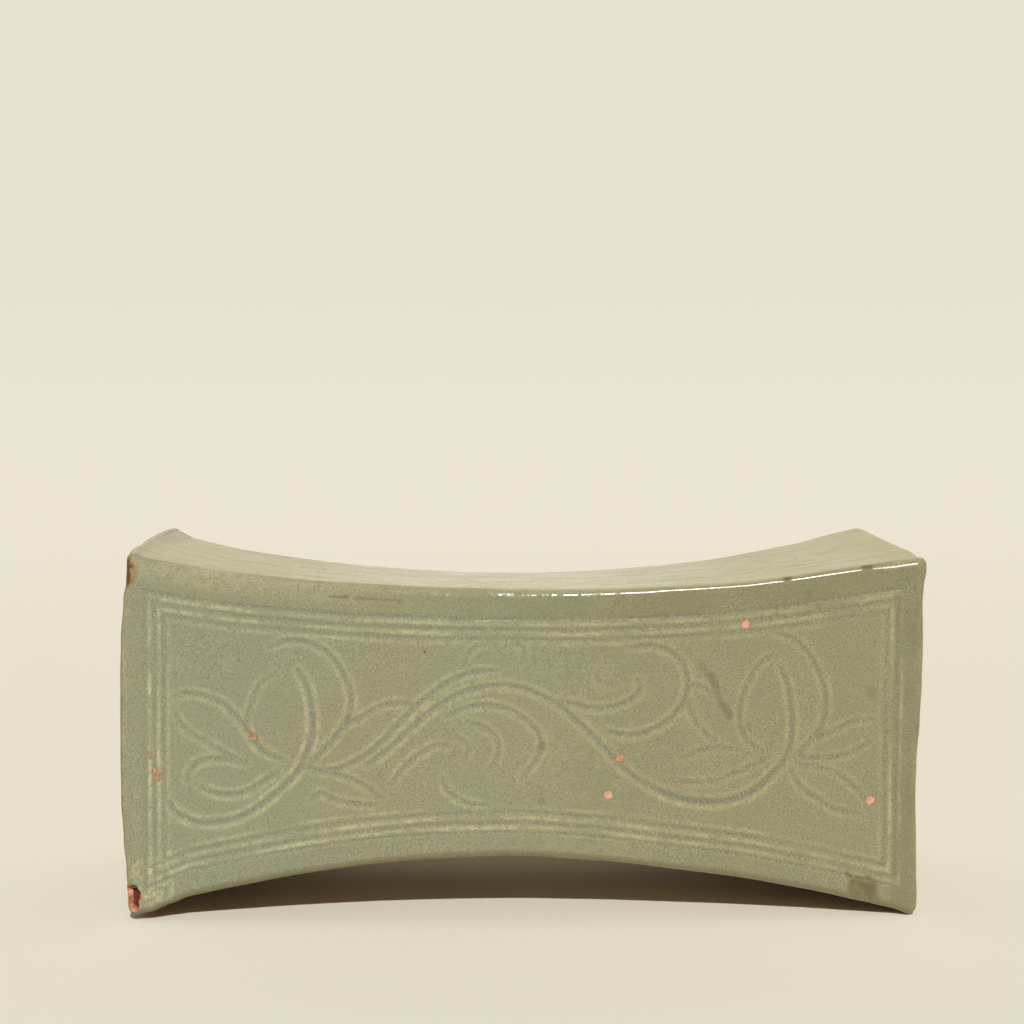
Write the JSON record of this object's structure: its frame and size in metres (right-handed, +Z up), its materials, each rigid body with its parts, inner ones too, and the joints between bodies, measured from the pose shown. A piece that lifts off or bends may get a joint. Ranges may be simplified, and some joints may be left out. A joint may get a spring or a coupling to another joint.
{
  "type": "chinese ceramic pillow",
  "caption": "Hollow slab-built ceramic headrest with a dipped top, flat sides with an incised scroll in line borders, an arched underside and a flat foot at each end.",
  "frame": {"origin": "middle of the footprint, on the floor that the two feet stand on", "axes": "+X along the length towards the right end, -Y towards the front face, +Z up"},
  "size_m": [0.3, 0.135, 0.1354],
  "materials": {
    "celadon_glaze": "glossy olive celadon glaze over stoneware",
    "slip": "fired slip under the glaze",
    "clay": "unglazed fired stoneware"
  },
  "bodies": {
    "root": {"top_slab": "celadon_glaze", "base_slab": "celadon_glaze", "front_wall": "celadon_glaze", "back_wall": "celadon_glaze", "left_end_wall": "celadon_glaze", "right_end_wall": "celadon_glaze", "top_slip_seam": "slip", "base_slip_seam": "slip", "front_left_slip": "slip", "front_right_slip": "slip", "back_left_slip": "slip", "back_right_slip": "slip", "front_left_coil": "clay", "front_right_coil": "clay", "back_left_coil": "clay", "back_right_coil": "clay", "front_base_coil": "clay", "back_base_coil": "clay", "left_base_coil": "clay", "right_base_coil": "clay"}
  },
  "joints": []
}
